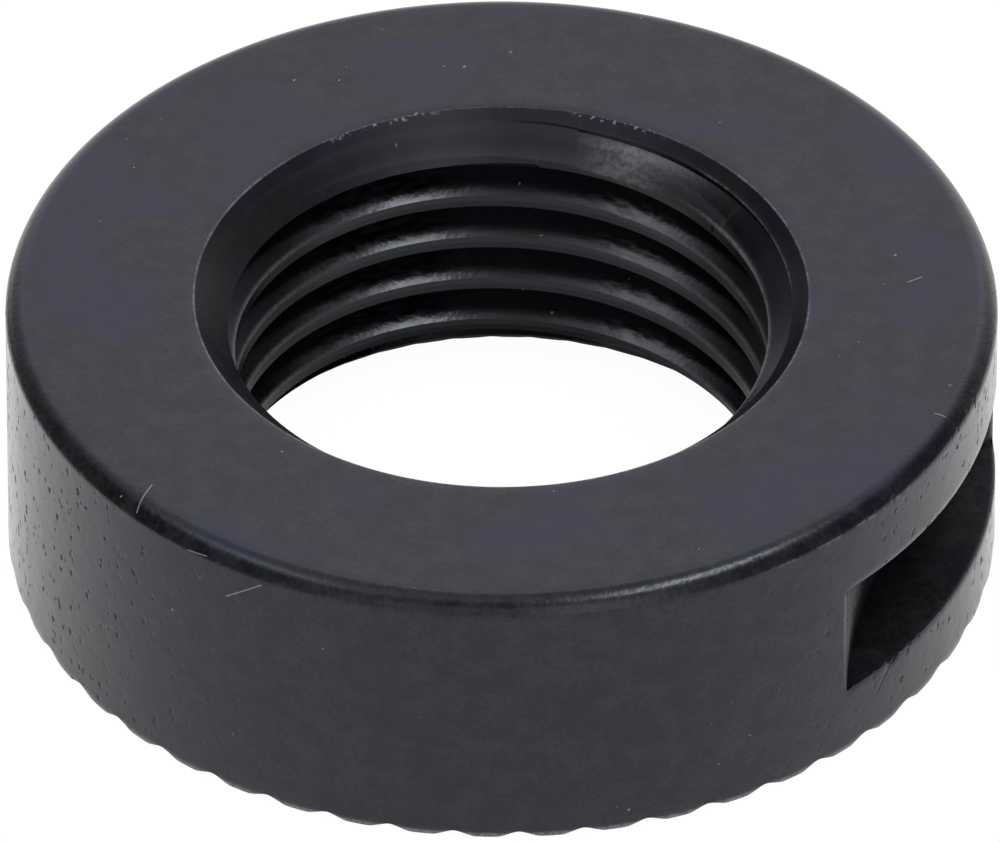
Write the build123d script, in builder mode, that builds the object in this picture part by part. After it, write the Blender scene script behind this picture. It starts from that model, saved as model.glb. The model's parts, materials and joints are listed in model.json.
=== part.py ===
# Round lock nut with a side slot for a hook wrench and a serrated underside.
# Millimetres, +Z up. The origin is the middle of the underside, on the thread's axis.
# Azimuths are degrees about +Z from +X, seen from above.

import os
from math import atan2, cos, radians, sin, sqrt, tan

from build123d import *

# Turned ring
outer_diameter = 23.5
height = 7.0
rim_radius = 0.5
base_chamfer = 0.08

# Bore, drilled to the minor diameter of a 60 degree metric thread and
# countersunk alike at both mouths
thread_diameter = 14.0
thread_pitch = 1.25
countersink_diameter = 14.55
countersink_angle = 90.0

# Slot milled into the side with a disc cutter
slot_height = 3.0
slot_depth = 2.0
slot_azimuth = -20.5
lower_lip_height = 1.83
cutter_diameter = 32.0

# Radial serrations in the underside, deepest at the rim
serration_count = 48
serration_depth = 0.19
serration_angle = 132.0
serration_azimuth = 2.0

# Radii and depths that follow
outer_radius = outer_diameter / 2
countersink_radius = countersink_diameter / 2
cutter_radius = cutter_diameter / 2
thread_depth = thread_pitch * sqrt(3) * 5 / 16
bore_radius = thread_diameter / 2 - thread_depth
countersink_depth = (countersink_radius - bore_radius) / tan(radians(countersink_angle / 2))

# One serration: a V whose bottom line rises from the axis to full depth at the rim,
# a twentieth taller than it is deep so that it always reaches below the underside
serration_tilt = atan2(serration_depth, outer_radius)
serration_start = countersink_radius - 2 * serration_depth
serration_end = outer_radius + serration_depth
v_height = serration_depth + serration_depth / 20
v_half_width = v_height * tan(radians(serration_angle / 2))
v_direction = (cos(serration_tilt), 0, sin(serration_tilt))

with BuildPart() as serration:
    with BuildSketch(Plane((0, 0, 0), x_dir=(0, 1, 0), z_dir=v_direction).offset(serration_start)):
        with BuildLine():
            Polyline((-v_half_width, -v_height), (0, 0), (v_half_width, -v_height), close=True)
        make_face()
    extrude(amount=serration_end - serration_start)

with BuildPart() as lock_nut:
    # Turned section: flat faces, round rim, a cone at each mouth of the bore
    with BuildSketch(Plane.XZ) as section:
        with BuildLine():
            Polyline(
                (bore_radius, countersink_depth),
                (countersink_radius, 0),
                (outer_radius, 0),
                (outer_radius, height),
                (countersink_radius, height),
                (bore_radius, height - countersink_depth),
                close=True,
            )
        make_face()
        outer_corners = section.vertices().group_by(Axis.X)[-1].sort_by(Axis.Y)
        chamfer(outer_corners[0], base_chamfer)
        fillet(outer_corners[1], rim_radius)
    revolve(axis=Axis.Z)

    # The cutter goes straight in, so the floor of the slot is an arc of the cutter
    with BuildSketch(Plane.XY.offset(lower_lip_height)):
        with PolarLocations(outer_radius - slot_depth + cutter_radius, 1, slot_azimuth):
            Circle(cutter_radius)
    extrude(amount=slot_height, mode=Mode.SUBTRACT)

    with PolarLocations(0, serration_count, serration_azimuth):
        add(serration.part, mode=Mode.SUBTRACT)

lock_nut.part.label = "lock_nut"
os.makedirs("parts", exist_ok=True)
export_step(lock_nut.part, "parts/lock_nut.step")
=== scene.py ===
import json
from math import atan2, ceil, cos, degrees, hypot, pi, radians, sin, sqrt, tan

import bmesh
import bpy
from mathutils import Matrix, Vector


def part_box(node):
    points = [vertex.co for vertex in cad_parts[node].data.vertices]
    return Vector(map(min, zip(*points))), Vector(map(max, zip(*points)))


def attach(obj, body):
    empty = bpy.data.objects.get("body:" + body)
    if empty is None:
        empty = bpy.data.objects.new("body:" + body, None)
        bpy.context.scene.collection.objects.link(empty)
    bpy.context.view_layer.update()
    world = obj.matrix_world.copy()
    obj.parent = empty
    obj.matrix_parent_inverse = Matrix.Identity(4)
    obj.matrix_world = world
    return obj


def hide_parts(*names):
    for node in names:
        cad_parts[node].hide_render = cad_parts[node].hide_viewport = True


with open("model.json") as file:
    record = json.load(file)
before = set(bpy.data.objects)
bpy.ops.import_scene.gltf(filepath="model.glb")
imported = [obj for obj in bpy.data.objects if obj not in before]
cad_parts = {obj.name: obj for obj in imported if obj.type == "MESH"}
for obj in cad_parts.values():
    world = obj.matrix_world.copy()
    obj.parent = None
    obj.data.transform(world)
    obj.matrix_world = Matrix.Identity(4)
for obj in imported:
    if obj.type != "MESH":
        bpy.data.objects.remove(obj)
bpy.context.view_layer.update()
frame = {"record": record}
mm = 0.001

# The ring is turned from free-cutting steel, with a flat upper face, a round rim and a cone at each
# mouth of the bore. Radial notches are pressed into its underside, and a slot for a hook wrench is
# milled into its side with a disc cutter. Azimuths run from +X, seen from above.
low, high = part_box("lock_nut")
outer_radius = (high[0] - low[0]) / 2
height = high[2] - low[2]
least = 0.001 * mm
crease_angle = radians(35)
rim_radius = 0.53 * mm
rim_turn = radians(75)
rim_steps = 8
mouth_radius = 7.275 * mm
mouth_edge = 0.05 * mm
foot_edge = 0.09 * mm
foot_height = 3.5 * foot_edge

notches = 48
columns = 16 * notches
notch_azimuth = radians(2.0)
notch_depth = 0.19 * mm
notch_half_angle = radians(2.08)
notch_blend = 0.22

slot_foot = 1.83 * mm
slot_height = 3.0 * mm
slot_head = slot_foot + slot_height
slot_depth = 2.0 * mm
slot_azimuth = radians(-20.5)
slot_edge = 0.055 * mm
cutter_radius = 16.0 * mm
cutter_centre = outer_radius - slot_depth + cutter_radius
nick_azimuth = radians(-38.3)
nick_half_width = radians(1.2)
nick_drop = 0.15 * mm
nick_foot = 1.2 * mm


def notch_lift(azimuth, radius):
    period = 2 * pi / notches
    across = ((azimuth - notch_azimuth + period / 2) % period - period / 2) / notch_half_angle
    rise = 1 + notch_blend / 2 - sqrt(across ** 2 + notch_blend ** 2)
    rounded = (rise + sqrt(rise ** 2 + notch_blend ** 2 / 4)) / 2
    return notch_depth * radius / outer_radius * rounded


def slot_depth_at(azimuth):
    turn = azimuth - slot_azimuth
    half_chord = cutter_radius ** 2 - (cutter_centre * sin(turn)) ** 2
    if half_chord <= 0 or cos(turn) <= 0:
        return 0
    return max(0, outer_radius - cutter_centre * cos(turn) + sqrt(half_chord))


profile = [
    (mouth_radius - 0.7 * mouth_edge, 0.7 * mouth_edge),
    (mouth_radius - 0.2 * mouth_edge, 0.2 * mouth_edge),
    (mouth_radius + mouth_edge, 0),
    (mouth_radius + 0.3 * (outer_radius - mouth_radius), 0),
    (mouth_radius + 0.6 * (outer_radius - mouth_radius), 0),
    (outer_radius - 3 * foot_edge, 0),
    (outer_radius - foot_edge, 0),
    (outer_radius - 0.3 * foot_edge, 0.3 * foot_edge),
    (outer_radius, foot_edge),
]
# Each row of the wall in the slot: its height on the wall, the share of the slot's depth that it
# moves in, the share of the rounded edge that it keeps, and its height in the slot
slot_rows = [
    (slot_foot - slot_edge, 0, 0, slot_foot - slot_edge),
    (slot_foot - 0.3 * slot_edge, 0, 0.3, slot_foot - 0.3 * slot_edge),
    (slot_foot, 0, 1, slot_foot),
    (slot_foot + 0.25 * slot_edge, 0.18, 0, slot_foot),
    (slot_foot + 0.5 * slot_edge, 1, 0, slot_foot),
    (slot_foot + slot_edge, 1, 0, slot_foot + slot_edge),
    (slot_foot + slot_height / 2, 1, 0, slot_foot + slot_height / 2),
    (slot_head - slot_edge, 1, 0, slot_head - slot_edge),
    (slot_head - 0.5 * slot_edge, 1, 0, slot_head),
    (slot_head, 0, 1, slot_head),
    (slot_head + 0.3 * slot_edge, 0, 0.3, slot_head + 0.3 * slot_edge),
]
wall_heights = [3 * foot_edge, 0.6 * mm, 1.2 * mm, slot_foot - 4 * slot_edge]
wall_heights += [row[0] for row in slot_rows]
wall_heights += [slot_head + slot_edge, slot_head + 4 * slot_edge, 5.7 * mm]
wall_heights += [height - rim_radius, height - 0.9 * rim_radius]
profile += [(outer_radius, z) for z in wall_heights]
rim_width = rim_radius * sin(rim_turn)
for step in range(rim_steps + 1):
    turn = rim_turn * (1 - step / rim_steps)
    rim_across = outer_radius - rim_width + rim_radius * sin(turn)
    profile.append((rim_across, height - rim_radius * (1 - cos(turn))))
profile += [
    (outer_radius - rim_radius - 0.2 * mm, height),
    (outer_radius - 0.4 * (outer_radius - mouth_radius), height),
    (mouth_radius + 0.3 * mm, height),
    (mouth_radius + mouth_edge, height),
    (mouth_radius - 0.2 * mouth_edge, height - 0.2 * mouth_edge),
    (mouth_radius - 0.7 * mouth_edge, height - 0.7 * mouth_edge),
]

nut_form = bmesh.new()
first_column = Matrix.Rotation(notch_azimuth, 3, "Z")
points = [nut_form.verts.new(first_column @ Vector((radius, 0, z))) for radius, z in profile]
line = [nut_form.edges.new(pair) for pair in zip(points, points[1:])]
bmesh.ops.spin(
    nut_form, geom=points + line, cent=(0, 0, 0), axis=(0, 0, 1), dvec=(0, 0, 0),
    angle=2 * pi, steps=columns, use_merge=True,
)
for vert in nut_form.verts:
    x, y, z = vert.co
    radius, azimuth = hypot(x, y), atan2(y, x)
    depth = slot_depth_at(azimuth)
    if radius > outer_radius - least and depth > 10 * least:
        wall_z, share, edge, slot_z = min(slot_rows, key=lambda row: abs(row[0] - z))
        if abs(wall_z - z) < least:
            radius = outer_radius - share * depth - edge * min(slot_edge, depth / 2)
            z = slot_z
    nick = max(0, 1 - abs(azimuth - nick_azimuth) / nick_half_width)
    if radius > outer_radius - 1.1 * slot_edge and nick_foot < z < slot_foot + least:
        z -= nick * nick_drop * (z - nick_foot) / (slot_foot - nick_foot)
    if z < foot_height:
        if radius < mouth_radius + 1.5 * mouth_edge:
            lift = notch_lift(azimuth, mouth_radius)
            radius -= lift
            z += lift
        else:
            z += notch_lift(azimuth, radius) * (1 - z / foot_height)
    vert.co = (radius * cos(azimuth), radius * sin(azimuth), z)

# The thread is cut with a tap to the 60 degree metric profile, right-handed, and its crests are left
# narrow and rough. One pitch of the profile climbs round the bore and ends where it meets the cones.
pitch = 1.25 * mm
root_radius = 7.0 * mm
crest_radius = frame["record"]["mounts"][0]["dims"]["r_mm"] * mm
groove_azimuth = radians(-62.0)
flank_slope = tan(radians(30.0))
root_half = pitch / 16
crest_start = root_half + (root_radius - crest_radius) * flank_slope

half_groove = [
    (root_half, root_radius),
    (0.5 * (root_half + crest_start), 0.5 * (root_radius + crest_radius)),
    (crest_start, crest_radius),
]
groove = half_groove + [(pitch / 2, crest_radius)]
groove += [(pitch - z, radius) for z, radius in reversed(half_groove)]
groove.append((pitch + root_half, root_radius))
groove_start = pitch * ((notch_azimuth - groove_azimuth) / (2 * pi) - 2)
groove_turns = ceil(height / pitch) + 2


def cone_radius(z):
    return mouth_radius - min(z, height - z)


thread_form = bmesh.new()
points = [first_column @ Vector((radius, 0, z + groove_start)) for z, radius in groove]
points = [thread_form.verts.new(point) for point in points]
line = [thread_form.edges.new(pair) for pair in zip(points, points[1:])]
bmesh.ops.spin(
    thread_form, geom=points + line, cent=(0, 0, 0), axis=(0, 0, 1), dvec=(0, 0, pitch / columns),
    angle=2 * pi, steps=columns,
)
one_turn = thread_form.verts[:] + thread_form.edges[:] + thread_form.faces[:]
for turn in range(1, groove_turns):
    copy = bmesh.ops.duplicate(thread_form, geom=one_turn)["geom"]
    copied = [part for part in copy if isinstance(part, bmesh.types.BMVert)]
    bmesh.ops.translate(thread_form, verts=copied, vec=(0, 0, turn * pitch))
bmesh.ops.remove_doubles(thread_form, verts=thread_form.verts, dist=least / 2)
for vert in thread_form.verts:
    x, y, z = vert.co
    radius, azimuth = hypot(x, y), atan2(y, x)
    phase = (z - pitch * (azimuth - groove_azimuth) / (2 * pi) - root_half / 2) % pitch + root_half / 2
    row = min(range(len(groove) - 1), key=lambda index: abs(groove[index][0] - phase))
    before = groove[row - 1] if row else (groove[-2][0] - pitch, groove[-2][1])
    gap = radius - cone_radius(z)
    meets = False
    for side_z, side_radius in (before, groove[row + 1]):
        side_z += z - groove[row][0]
        side_gap = side_radius - cone_radius(side_z)
        if gap * side_gap < 0 and abs(gap) <= abs(side_gap) and not meets:
            share = gap / (gap - side_gap)
            z += share * (side_z - z)
            radius += share * (side_radius - radius)
            meets = True
    radius = max(radius, cone_radius(z))
    lift = notch_lift(azimuth, mouth_radius)
    mouth_low = 0.7 * mouth_edge + lift
    mouth_high = height - 0.7 * mouth_edge
    if z < mouth_low or z > mouth_high:
        z = min(max(z, mouth_low), mouth_high)
        radius = cone_radius(z)
    vert.co = (radius * cos(azimuth), radius * sin(azimuth), z)
bmesh.ops.remove_doubles(thread_form, verts=thread_form.verts, dist=least)
thread_mesh = bpy.data.meshes.new("thread")
thread_form.to_mesh(thread_mesh)
thread_form.free()
nut_form.from_mesh(thread_mesh)
bpy.data.meshes.remove(thread_mesh)
bmesh.ops.remove_doubles(nut_form, verts=nut_form.verts, dist=least)
bmesh.ops.dissolve_degenerate(nut_form, edges=nut_form.edges, dist=least / 2)
bmesh.ops.recalc_face_normals(nut_form, faces=nut_form.faces)
for face in nut_form.faces:
    face.smooth = True
for edge in nut_form.edges:
    if len(edge.link_faces) == 2 and edge.calc_face_angle() > crease_angle:
        edge.smooth = False
nut_mesh = bpy.data.meshes.new("nut")
nut_form.to_mesh(nut_mesh)
nut_form.free()
nut = bpy.data.objects.new("nut", nut_mesh)
bpy.context.scene.collection.objects.link(nut)


def calc(tree, operation, *values):
    node = tree.nodes.new("ShaderNodeMath")
    node.operation = operation
    for socket, value in zip(node.inputs, values):
        if isinstance(value, (int, float)):
            socket.default_value = value
        else:
            tree.links.new(value, socket)
    return node.outputs[0]


def product(tree, first, *others):
    for other in others:
        first = calc(tree, "MULTIPLY", first, other)
    return first


def fade(tree, value, start, end, low=0.0, high=1.0):
    node = tree.nodes.new("ShaderNodeMapRange")
    node.interpolation_type = "SMOOTHSTEP"
    for name, number in (("From Min", start), ("From Max", end), ("To Min", low), ("To Max", high)):
        node.inputs[name].default_value = number
    tree.links.new(value, node.inputs["Value"])
    return node.outputs[0]


def between(tree, value, start, end, edge):
    rises = fade(tree, value, start - edge, start + edge)
    falls = fade(tree, value, end + edge, end - edge)
    return product(tree, rises, falls)


def blend(tree, share, first, second):
    node = tree.nodes.new("ShaderNodeMix")
    node.data_type = "RGBA"
    for socket, value in zip((node.inputs[0], node.inputs[6], node.inputs[7]), (share, first, second)):
        if isinstance(value, tuple):
            socket.default_value = (*value, 1)
        else:
            tree.links.new(value, socket)
    return node.outputs[2]


# Black oxide: a thin dark glassy skin, bluish in what it reflects, worn to bare steel in places.
# Its patterns use millimetres in the nut's own axes, and azimuths in degrees.
black_oxide = bpy.data.materials.new("black_oxide")
black_oxide.use_nodes = True
oxide = black_oxide.node_tree
skin = oxide.nodes["Principled BSDF"]
place = oxide.nodes.new("ShaderNodeTexCoord")
in_mm = oxide.nodes.new("ShaderNodeMapping")
in_mm.inputs["Scale"].default_value = (1 / mm, 1 / mm, 1 / mm)
oxide.links.new(place.outputs["Object"], in_mm.inputs["Vector"])
axes = oxide.nodes.new("ShaderNodeSeparateXYZ")
oxide.links.new(in_mm.outputs[0], axes.inputs[0])
x_mm, y_mm, z_mm = axes.outputs
across = calc(oxide, "SQRT", calc(oxide, "MULTIPLY_ADD", y_mm, y_mm, calc(oxide, "MULTIPLY", x_mm, x_mm)))
azimuth = calc(oxide, "MULTIPLY", calc(oxide, "ARCTAN2", y_mm, x_mm), degrees(1))


def cloud(tree, coordinates, scale, detail, stretch=(1, 1, 1)):
    turned = tree.nodes.new("ShaderNodeMapping")
    turned.inputs["Scale"].default_value = stretch
    tree.links.new(coordinates, turned.inputs["Vector"])
    node = tree.nodes.new("ShaderNodeTexNoise")
    node.inputs["Scale"].default_value = scale
    node.inputs["Detail"].default_value = detail
    tree.links.new(turned.outputs[0], node.inputs["Vector"])
    return node.outputs["Fac"]


def dots(tree, coordinates, spacing, radius, sharpness=0.6, stretch=(1, 1, 1), spread=0.0):
    turned = tree.nodes.new("ShaderNodeMapping")
    turned.inputs["Scale"].default_value = stretch
    tree.links.new(coordinates, turned.inputs["Vector"])
    node = tree.nodes.new("ShaderNodeTexVoronoi")
    node.inputs["Scale"].default_value = 1 / spacing
    tree.links.new(turned.outputs[0], node.inputs["Vector"])
    chance = tree.nodes.new("ShaderNodeSeparateXYZ")
    tree.links.new(node.outputs["Color"], chance.inputs[0])
    far = calc(tree, "MULTIPLY", node.outputs["Distance"], spacing)
    far = calc(tree, "MULTIPLY_ADD", chance.outputs[0], spread, far)
    return fade(tree, far, radius, radius * sharpness)


# Grain all over, soft blue blotches on the flat face, and pits that mottle the wall
millimetres = in_mm.outputs[0]
grain = cloud(oxide, millimetres, 8.0, 1.0)
coarse_grain = cloud(oxide, millimetres, 1.6, 1.0)
speckle = fade(oxide, calc(oxide, "ADD", grain, coarse_grain), 0.78, 1.32)
blotches = fade(oxide, cloud(oxide, millimetres, 0.36, 1.0), 0.48, 0.62)
on_top = fade(oxide, z_mm, 6.9, 6.99, 0.25, 1.0)
on_wall = fade(oxide, across, 11.66, 11.73)
on_rim = product(oxide, fade(oxide, z_mm, 6.55, 6.62), fade(oxide, across, 11.2, 11.3))
bent = oxide.nodes.new("ShaderNodeVectorMath")
bent.operation = "MULTIPLY_ADD"
bent.inputs[1].default_value = (0.17, 0.17, 0.2)
oxide.links.new(grain, bent.inputs[0])
oxide.links.new(millimetres, bent.inputs[2])
pits = dots(oxide, bent.outputs[0], 0.22, 0.12, 0.25, (1, 1, 0.72), 0.095)
in_patches = fade(oxide, coarse_grain, 0.36, 0.56, 0.15, 1.0)
fewer_in_front = fade(oxide, y_mm, -11.0, -6.0, 0.2, 1.0)
pits = product(oxide, pits, on_wall, in_patches, fewer_in_front)

# Dust and lint: small pale specks, and short pale fibres on the wall, the rim and the flat face
dust = dots(oxide, bent.outputs[0], 0.95, 0.04)
sheet = oxide.nodes.new("ShaderNodeCombineXYZ")
oxide.links.new(product(oxide, azimuth, radians(outer_radius / mm)), sheet.inputs[0])
oxide.links.new(z_mm, sheet.inputs[1])
flat = oxide.nodes.new("ShaderNodeMapping")
flat.inputs["Scale"].default_value = (1, 1, 0)
oxide.links.new(millimetres, flat.inputs["Vector"])


def fibre(tree, coordinates, start, end, half_width):
    run = Vector(end) - Vector(start)
    across_start = tree.nodes.new("ShaderNodeVectorMath")
    across_start.operation = "SUBTRACT"
    across_start.inputs[1].default_value = (*start, 0)
    tree.links.new(coordinates, across_start.inputs[0])
    along = tree.nodes.new("ShaderNodeVectorMath")
    along.operation = "DOT_PRODUCT"
    along.inputs[1].default_value = (*(run / run.length_squared), 0)
    tree.links.new(across_start.outputs[0], along.inputs[0])
    share = tree.nodes.new("ShaderNodeClamp")
    tree.links.new(along.outputs["Value"], share.inputs["Value"])
    nearest = tree.nodes.new("ShaderNodeVectorMath")
    nearest.operation = "SCALE"
    nearest.inputs[0].default_value = (*run, 0)
    tree.links.new(share.outputs[0], nearest.inputs["Scale"])
    away = tree.nodes.new("ShaderNodeVectorMath")
    away.operation = "DISTANCE"
    tree.links.new(across_start.outputs[0], away.inputs[0])
    tree.links.new(nearest.outputs[0], away.inputs[1])
    return fade(tree, away.outputs["Value"], half_width, half_width * 0.4)


wall_sheet = sheet.outputs[0]
wall_lint = fibre(oxide, wall_sheet, (-25.28, 5.76), (-24.31, 6.49), 0.02)
rim_lint = fibre(oxide, wall_sheet, (-26.38, 6.62), (-25.85, 6.68), 0.018)
lint = product(oxide, calc(oxide, "MAXIMUM", wall_lint, rim_lint), fade(oxide, across, 11.5, 11.6))
face_lint = (
    ((-8.2, -7.2), (-8.55, -7.95)),
    ((9.63, 0.51), (9.96, 0.7)),
    ((10.2, -4.5), (10.44, -4.6)),
)
for start, end in face_lint:
    lint = calc(oxide, "MAXIMUM", lint, fibre(oxide, flat.outputs[0], start, end, 0.02))
lint = product(oxide, lint, fade(oxide, z_mm, 5.0, 5.5))

# The slot's left end carries painted light, its left edge a painted highlight line with a chip at its
# foot, and a crease runs down the wall from the nick in its lower lip. Its deep part mirrors less, a
# painted shade.
in_slot = product(
    oxide,
    between(oxide, azimuth, -46.6, 5.6, 0.3),
    between(oxide, z_mm, 1.45, 4.86, 0.02),
    fade(oxide, across, 11.72, 11.64),
    fade(oxide, across, 9.3, 9.5),
)
slot_end = calc(oxide, "MULTIPLY_ADD", z_mm, -0.135, x_mm)
# painted light on the slot's left end, fading where shadow falls
painted_slot_light = product(
    oxide,
    fade(oxide, slot_end, 8.35, 7.8),
    fade(oxide, z_mm, 1.9, 2.9),
    fade(oxide, grain, 0.36, 0.56, 0.35, 1.0),
    in_slot,
)
# painted highlight along the slot's left edge, brighter towards the top
slot_edge_highlight = product(
    oxide,
    between(oxide, azimuth, -46.8, -46.3, 0.12),
    between(oxide, z_mm, 1.9, 4.72, 0.08),
    fade(oxide, z_mm, 1.6, 4.2, 0.15, 0.75),
)
chip = product(oxide, fibre(oxide, wall_sheet, (-9.454, 1.89), (-9.45, 1.98), 0.03), in_slot)
crease_head = fibre(oxide, wall_sheet, (-7.87, 1.84), (-8.14, 1.55), 0.09)
crease_tail = fibre(oxide, wall_sheet, (-8.14, 1.55), (-8.44, 1.17), 0.06)
crease = product(oxide, calc(oxide, "MAXIMUM", crease_head, crease_tail), on_wall)
# painted shade: the slot's deep part is made to mirror less
painted_slot_shade = product(oxide, in_slot, fade(oxide, azimuth, -8, -22, 0.0, 0.45))

# The thread's own coordinate, from 0 to 1 up each pitch, with the groove's middle at 0.5
climb = calc(oxide, "MULTIPLY_ADD", azimuth, -1 / 360, calc(oxide, "DIVIDE", z_mm, pitch / mm))
phase = calc(oxide, "FRACT", calc(oxide, "ADD", climb, 10.5 + degrees(groove_azimuth) / 360))
above_middle = product(oxide, calc(oxide, "SUBTRACT", phase, 0.5), pitch / mm)
root_side = (root_radius * flank_slope + root_half) / mm
half_width = calc(oxide, "MULTIPLY_ADD", across, -flank_slope, root_side)
from_edge = calc(oxide, "ABSOLUTE", calc(oxide, "SUBTRACT", above_middle, half_width))
above_cone = calc(oxide, "SUBTRACT", calc(oxide, "SUBTRACT", across, z_mm), (mouth_radius - height) / mm)
on_cone = fade(oxide, calc(oxide, "ABSOLUTE", above_cone), 0.06, 0.02)
on_cone = product(oxide, on_cone, fade(oxide, across, 7.33, 7.28))

# Painted highlights along sharp edges: the groove that runs out in the cone, the cone's mouth, the
# foot of the round rim at the right, a place on the rim, and the feet of the lands
groove_highlight = product(
    oxide,
    fade(oxide, from_edge, 0.075, 0.02),
    between(oxide, azimuth, 5, 48, 6),
    fade(oxide, across, 7.02, 6.98),
    on_cone,
)
# the grain breaks up the painted edge highlights
highlight_breakup = fade(oxide, grain, 0.25, 0.6, 0.1, 1.0)
highlight_breakup = product(oxide, highlight_breakup, fade(oxide, coarse_grain, 0.35, 0.6, 0.35, 1.0))
mouth_highlight = product(
    oxide,
    between(oxide, across, 7.265, 7.315, 0.015),
    fade(oxide, z_mm, 6.9, 6.96),
    fade(oxide, y_mm, 6.6, 4.5, 0.3, 0.9),
)
rim_foot_highlight = product(
    oxide,
    between(oxide, z_mm, 6.57, 6.64, 0.02),
    between(oxide, azimuth, -56, -30, 4),
    fade(oxide, coarse_grain, 0.48, 0.6, 0.0, 0.7),
    on_wall,
)
# painted highlight on the rim where the right soft box reflects
painted_rim_highlight = product(
    oxide,
    between(oxide, azimuth, -76, -57, 5),
    between(oxide, across, 11.46, 11.54, 0.04),
    fade(oxide, grain, 0.36, 0.66),
    on_rim,
)
# painted highlight along the feet of the lands at the front
painted_foot_highlight = product(
    oxide,
    fade(oxide, z_mm, 0.2, 0.1),
    fade(oxide, across, 11.4, 11.5),
    between(oxide, azimuth, -142, -36, 10),
    fade(oxide, grain, 0.3, 0.58, 0.4, 1.0),
)
# all the painted edge highlights together
painted_edge_highlights = calc(oxide, "ADD", calc(oxide, "ADD", mouth_highlight, groove_highlight), rim_foot_highlight)
painted_edge_highlights = calc(oxide, "MULTIPLY_ADD", painted_edge_highlights, highlight_breakup, slot_edge_highlight)

# Pale crumbs lie in two runs along the cone's mouth, and the tip of the groove is a line of painted shade
speck_runs = calc(oxide, "ADD", between(oxide, azimuth, 104, 123, 4), between(oxide, azimuth, 60, 76, 4))
mouth_specks = product(
    oxide,
    speck_runs,
    between(oxide, across, 7.21, 7.29, 0.03),
    fade(oxide, z_mm, 6.85, 6.92),
    fade(oxide, cloud(oxide, millimetres, 9.0, 1.0), 0.54, 0.66),
)
tip_across = calc(oxide, "ADD", across, fade(oxide, azimuth, 83, 72, 0.0, 0.036))
painted_tip_shade = product(
    oxide,
    between(oxide, tip_across, 7.012, 7.048, 0.01),
    between(oxide, azimuth, 73, 88, 2),
    fade(oxide, azimuth, 92, 74, 0.4, 1.0),
    on_cone,
)

# Bare steel shows in torn streaks above the crests, and in a large patch where the thread runs out;
# the glints on the crests at the back are painted highlights
in_bore = fade(oxide, across, 7.24, 7.2)
unrolled = oxide.nodes.new("ShaderNodeCombineXYZ")
oxide.links.new(azimuth, unrolled.inputs[0])
oxide.links.new(climb, unrolled.inputs[1])
streaks = cloud(oxide, unrolled.outputs[0], 2.6, 2.0, (0.09, 6.0, 1))
crest_zone = product(oxide, fade(oxide, z_mm, 6.1, 5.8), in_bore)
patches = product(
    oxide,
    between(oxide, azimuth, 53, 67, 6),
    between(oxide, phase, 0.12, 0.26, 0.07),
    fade(oxide, streaks, 0.4, 0.68),
)
# painted highlights in bare-steel colour on the crests at the back
glints = product(
    oxide,
    between(oxide, azimuth, 107, 110, 3),
    between(oxide, phase, 0.14, 0.17, 0.03),
    fade(oxide, streaks, 0.45, 0.65),
)
run_out = product(
    oxide,
    between(oxide, azimuth, 58, 69, 8),
    between(oxide, climb, 4.62, 5.12, 0.1),
    fade(oxide, calc(oxide, "ADD", streaks, grain), 0.7, 1.35, 0.2, 0.9),
    in_bore,
)
torn_steel_and_glints = product(oxide, calc(oxide, "MAXIMUM", patches, glints), crest_zone)
torn_steel_and_glints = calc(oxide, "MAXIMUM", torn_steel_and_glints, run_out)

# In the bore the grooves are duller towards the sides and where their flanks are glazed, and the
# cone's right side is made duller as painted shade. The deep parts of the grooves are painted paler
# as painted light, the flanks below the crests carry painted soft light, and the crests a painted
# highlight line at the sides
sides = fade(oxide, calc(oxide, "ABSOLUTE", x_mm), 3.6, 5.6)
in_groove = product(
    oxide,
    fade(oxide, across, 6.35, 6.43),
    fade(oxide, across, 7.06, 7.02),
    calc(oxide, "SUBTRACT", 1.0, on_cone),
)
glazed = product(oxide, between(oxide, azimuth, 101, 134, 5), fade(oxide, streaks, 0.62, 0.42, 0.0, 0.8))
dull_and_painted_shade = product(oxide, in_groove, calc(oxide, "MAXIMUM", product(oxide, sides, 0.6), glazed))
# painted shade on the cone's right side
painted_cone_shade = product(oxide, on_cone, fade(oxide, x_mm, 5.4, 6.6, 0.0, 0.35))
dull_and_painted_shade = calc(oxide, "MAXIMUM", calc(oxide, "MAXIMUM", dull_and_painted_shade, painted_cone_shade), painted_tip_shade)
# painted light in the shaded deep parts of the grooves
deep = product(oxide, between(oxide, phase, 0.3, 0.75, 0.1), fade(oxide, across, 7.06, 7.02), 0.35)
# painted soft light on the flanks just below the crests, weaker at the sides
painted_flank_light = product(
    oxide,
    fade(oxide, across, 6.75, 6.35),
    fade(oxide, phase, 0.5, 0.15),
    calc(oxide, "MULTIPLY_ADD", sides, -0.8, 1.0),
)
# painted highlight line along the crests' edges at the sides
painted_crest_highlight = product(
    oxide,
    between(oxide, phase, 0.085, 0.14, 0.025),
    fade(oxide, across, 6.45, 6.38),
    fade(oxide, grain, 0.3, 0.55, 0.5, 1.0),
    sides,
)

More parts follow.
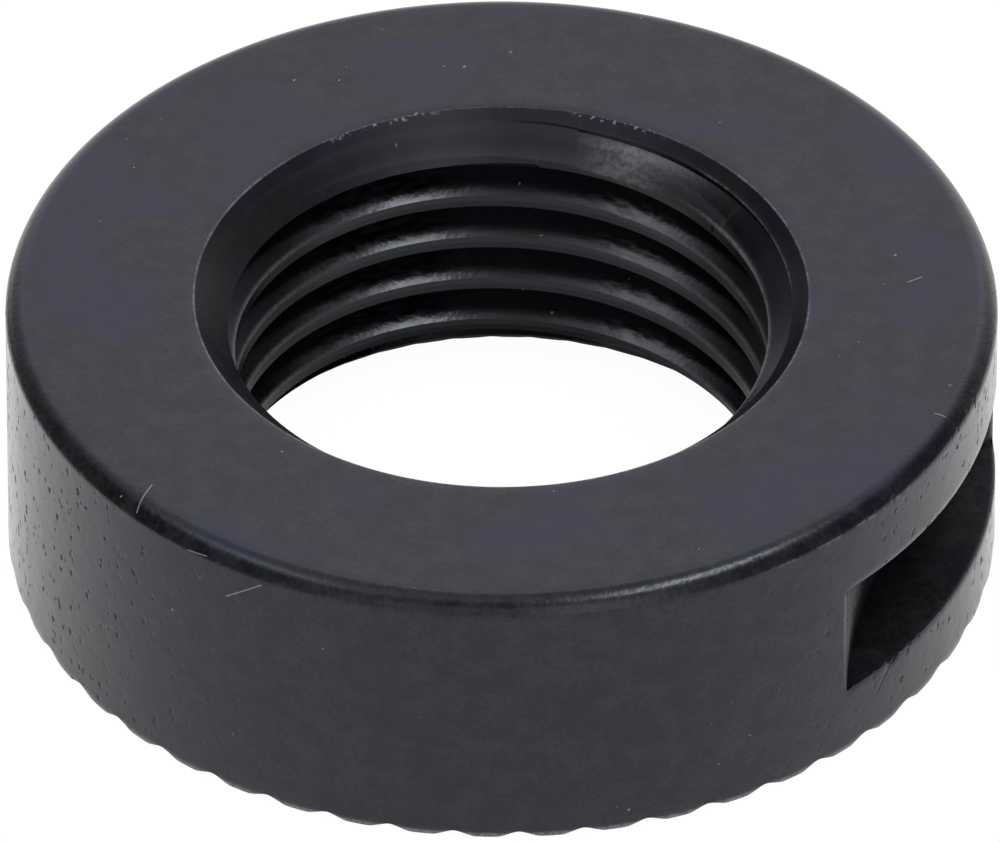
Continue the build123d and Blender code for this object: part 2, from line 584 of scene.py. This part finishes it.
# The colours, from the blackened ground up to bare metal and dust, with the painted light, shade and
# highlights among them
turned_in = fade(oxide, across, 7.36, 7.3, 0.0, 0.75)
speckle = blend(oxide, turned_in, speckle, (0.32, 0.32, 0.32))
colour = blend(oxide, speckle, (0.0, 0.0, 0.0002), (0.015, 0.0153, 0.0165))
crumbs = calc(oxide, "MAXIMUM", chip, mouth_specks)
pale = calc(oxide, "MAXIMUM", calc(oxide, "MAXIMUM", dust, lint), crumbs)
layers = (
    (product(oxide, blotches, on_top, 0.8), (0.0045, 0.0038, 0.032)),
    (deep, (0.03, 0.03, 0.034)),
    (painted_flank_light, (0.03, 0.03, 0.031)),
    (painted_crest_highlight, (0.13, 0.13, 0.133)),
    (painted_slot_light, (0.215, 0.215, 0.224)),
    (painted_foot_highlight, (0.27, 0.264, 0.257)),
    (painted_edge_highlights, (0.15, 0.155, 0.165)),
    (torn_steel_and_glints, (0.24, 0.25, 0.26)),
    (painted_rim_highlight, (0.16, 0.16, 0.164)),
    (pale, (0.3, 0.3, 0.3)),
)
for share, layer in layers:
    colour = blend(oxide, share, colour, layer)
oxide.links.new(colour, skin.inputs["Base Color"])

# The slot is matt, and the rim, the cone, dust, pits and torn metal are rougher than the faces
roughness = calc(oxide, "MULTIPLY_ADD", coarse_grain, 0.1, 0.14)
rough_spots = calc(oxide, "ADD", calc(oxide, "ADD", dust, torn_steel_and_glints), product(oxide, pits, 2))
for mask, added in ((in_slot, 0.6), (on_rim, 0.07), (on_cone, 0.14), (rough_spots, 0.3)):
    roughness = calc(oxide, "MULTIPLY_ADD", mask, added, roughness)
oxide.links.new(roughness, skin.inputs["Roughness"])
metal = calc(oxide, "MULTIPLY_ADD", torn_steel_and_glints, 0.85, calc(oxide, "ADD", painted_slot_shade, dull_and_painted_shade))
oxide.links.new(metal, skin.inputs["Metallic"])

# A fine relief under the light: grain, rolling waves on the wall, pits and the crease
grain_height = calc(oxide, "MULTIPLY_ADD", on_rim, 0.0035, 0.0025)
grain_height = calc(oxide, "MULTIPLY_ADD", fade(oxide, across, 6.9, 6.6), 0.0015, grain_height)
relief = product(oxide, grain, grain_height)
for mask, rise in ((product(oxide, coarse_grain, on_wall), 0.012), (pits, -0.018), (crease, -0.045)):
    relief = calc(oxide, "MULTIPLY_ADD", mask, rise, relief)
bump = oxide.nodes.new("ShaderNodeBump")
bump.inputs["Distance"].default_value = mm
oxide.links.new(relief, bump.inputs["Height"])
oxide.links.new(bump.outputs[0], skin.inputs["Normal"])
skin.inputs["IOR"].default_value = 1.56
skin.inputs["Specular Tint"].default_value = (0.83, 0.874, 1.0, 1)
nut_mesh.materials.append(black_oxide)
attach(nut, "root")
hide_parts("lock_nut")

# A plain white table, which keeps a soft shadow of the nut
floor_form = bmesh.new()
bmesh.ops.create_grid(floor_form, x_segments=1, y_segments=1, size=1.5)
floor_mesh = bpy.data.meshes.new("floor")
floor_form.to_mesh(floor_mesh)
floor_form.free()
floor = bpy.data.objects.new("floor", floor_mesh)
bpy.context.scene.collection.objects.link(floor)
table_white = bpy.data.materials.new("table_white")
table_white.use_nodes = True
table = table_white.node_tree
nodes, links = table.nodes, table.links
nodes.clear()
output = nodes.new("ShaderNodeOutputMaterial")
paper = nodes.new("ShaderNodeBsdfDiffuse")
paper.inputs["Color"].default_value = (0.8, 0.8, 0.8, 1)
shaded = nodes.new("ShaderNodeBsdfDiffuse")
shaded.inputs["Color"].default_value = (0.1, 0.1, 0.1, 1)
glow = nodes.new("ShaderNodeEmission")
glow.inputs["Strength"].default_value = 0.97
seen = nodes.new("ShaderNodeAddShader")
links.new(shaded.outputs[0], seen.inputs[0])
links.new(glow.outputs[0], seen.inputs[1])
# What the nut mirrors of the table is painted glow: brighter behind it, painted shadow inside the bore
# and under the nut, and painted dark patches out at the left and right that stand for the dark room
on_table = nodes.new("ShaderNodeTexCoord")
table_axes = nodes.new("ShaderNodeSeparateXYZ")
links.new(on_table.outputs["Object"], table_axes.inputs[0])
table_x, table_y = table_axes.outputs["X"], table_axes.outputs["Y"]
length = nodes.new("ShaderNodeVectorMath")
length.operation = "LENGTH"
links.new(on_table.outputs["Object"], length.inputs[0])
reach = length.outputs["Value"]
behind = fade(table, table_y, -0.012, 0.004, 0.84, 1.15)
bore_floor = product(
    table,
    fade(table, reach, 0.0068, 0.0064, 0.12, 0.4),
    fade(table, table_y, 0.0036, 0.0052, 1.0, 0.35),
)
open_table = calc(table, "MAXIMUM", bore_floor, fade(table, reach, 0.0095, 0.0105))
sideways = calc(table, "DIVIDE", calc(table, "ABSOLUTE", table_x), reach)
# painted shade at the left and right of the table, seen only in reflections
from_side_shade_middle = calc(table, "ABSOLUTE", calc(table, "SUBTRACT", table_x, 0.006))
on_side_shade = product(table, fade(table, sideways, 0.6, 0.82), fade(table, from_side_shade_middle, 0.026, 0.036))
painted_side_shade = calc(table, "MULTIPLY_ADD", on_side_shade, -0.8, 1.0)
mirrored = nodes.new("ShaderNodeEmission")
links.new(product(table, behind, painted_side_shade, open_table), mirrored.inputs["Strength"])
rays = nodes.new("ShaderNodeLightPath")
by_gloss = nodes.new("ShaderNodeMixShader")
links.new(rays.outputs["Is Glossy Ray"], by_gloss.inputs[0])
links.new(paper.outputs[0], by_gloss.inputs[1])
links.new(mirrored.outputs[0], by_gloss.inputs[2])
by_camera = nodes.new("ShaderNodeMixShader")
links.new(rays.outputs["Is Camera Ray"], by_camera.inputs[0])
links.new(by_gloss.outputs[0], by_camera.inputs[1])
links.new(seen.outputs[0], by_camera.inputs[2])
links.new(by_camera.outputs[0], output.inputs["Surface"])
floor_mesh.materials.append(table_white)

# The studio: a white tent, open at the left and right, where the room is dark. Its levels go round
# by azimuth, one row of them near the horizon and a softer row overhead, darkest above the camera.
world = bpy.data.worlds.new("studio")
bpy.context.scene.world = world
world.use_nodes = True
nodes, links = world.node_tree.nodes, world.node_tree.links
nodes.clear()
output = nodes.new("ShaderNodeOutputWorld")
direction = nodes.new("ShaderNodeTexCoord")
sky_axes = nodes.new("ShaderNodeSeparateXYZ")
links.new(direction.outputs["Generated"], sky_axes.inputs[0])
sky_x, sky_y, sky_z = sky_axes.outputs
round_share = nodes.new("ShaderNodeMapRange")
round_share.inputs["From Min"].default_value = -pi
round_share.inputs["From Max"].default_value = pi
links.new(calc(world.node_tree, "ARCTAN2", sky_y, sky_x), round_share.inputs["Value"])
studio_strength = 2.0


def level_round(levels):
    ramp = nodes.new("ShaderNodeValToRGB")
    stops = ramp.color_ramp.elements
    for turn, level in levels:
        if turn == -180:
            stop = stops[0]
        elif turn == 180:
            stop = stops[-1]
        else:
            stop = stops.new((turn + 180) / 360)
        stop.color = (level / studio_strength, level / studio_strength, level / studio_strength, 1)
    links.new(round_share.outputs[0], ramp.inputs[0])
    return ramp.outputs[0]


low_levels = level_round([
    (-180, 0.15), (-150, 0.18), (-128, 0.45), (-108, 0.85), (-94, 0.45), (-84, 0.5), (-74, 1.6),
    (-64, 1.3), (-52, 0.5), (-35, 0.24), (-10, 0.15), (28, 0.15), (45, 0.4), (68, 1.25),
    (90, 0.95), (110, 1.05), (127, 0.42), (148, 0.16), (180, 0.14),
])
high_levels = level_round([
    (-180, 0.75), (-150, 0.75), (-118, 0.32), (-88, 0.13), (-62, 0.55), (-30, 0.5), (30, 0.55),
    (55, 0.7), (90, 0.45), (130, 0.75), (180, 0.75),
])
is_high = fade(world.node_tree, sky_z, sin(radians(44)), sin(radians(56)))
studio = nodes.new("ShaderNodeBackground")
studio.inputs["Strength"].default_value = studio_strength
links.new(blend(world.node_tree, is_high, low_levels, high_levels), studio.inputs["Color"])
backdrop = nodes.new("ShaderNodeBackground")
backdrop.inputs["Strength"].default_value = 1.0
backdrop.inputs["Color"].default_value = (1, 1, 1, 1)
rays = nodes.new("ShaderNodeLightPath")
by_camera = nodes.new("ShaderNodeMixShader")
links.new(rays.outputs["Is Camera Ray"], by_camera.inputs[0])
links.new(studio.outputs[0], by_camera.inputs[1])
links.new(backdrop.outputs[0], by_camera.inputs[2])
links.new(by_camera.outputs[0], output.inputs["Surface"])

# Two wide soft boxes hang high at the right and the left. Each has its azimuth and elevation in
# degrees, its width and height in metres, and its radiance.
box_distance = 0.5
soft_boxes = (("right_box", -9, 70, 0.26, 0.085, 5.8), ("left_box", -175, 64, 0.2, 0.1, 1.5))
for name, box_azimuth, elevation, width, tallness, radiance in soft_boxes:
    lamp = bpy.data.lights.new(name, "AREA")
    lamp.shape = "RECTANGLE"
    lamp.size = width
    lamp.size_y = tallness
    lamp.energy = radiance * pi * width * tallness
    box = bpy.data.objects.new(name, lamp)
    bpy.context.scene.collection.objects.link(box)
    towards = Vector((
        cos(radians(box_azimuth)) * cos(radians(elevation)),
        sin(radians(box_azimuth)) * cos(radians(elevation)),
        sin(radians(elevation)),
    ))
    box.location = box_distance * towards
    box.rotation_euler = towards.to_track_quat("Z", "Y").to_euler()

# The camera looks along +Y, down at the photograph's angle, from far enough for a long lens
camera_data = bpy.data.cameras.new("camera")
camera = bpy.data.objects.new("camera", camera_data)
bpy.context.scene.collection.objects.link(camera)
bpy.context.scene.camera = camera
camera_data.sensor_width = 36.0
camera_data.lens = 956.7
camera_x = -0.0000364
target = Vector((camera_x, 0, 0.003197))
camera.location = (camera_x, -0.49461, 0.39577)
camera.rotation_euler = (camera.location - target).to_track_quat("Z", "Y").to_euler()

bpy.context.scene.view_settings.view_transform = "Standard"
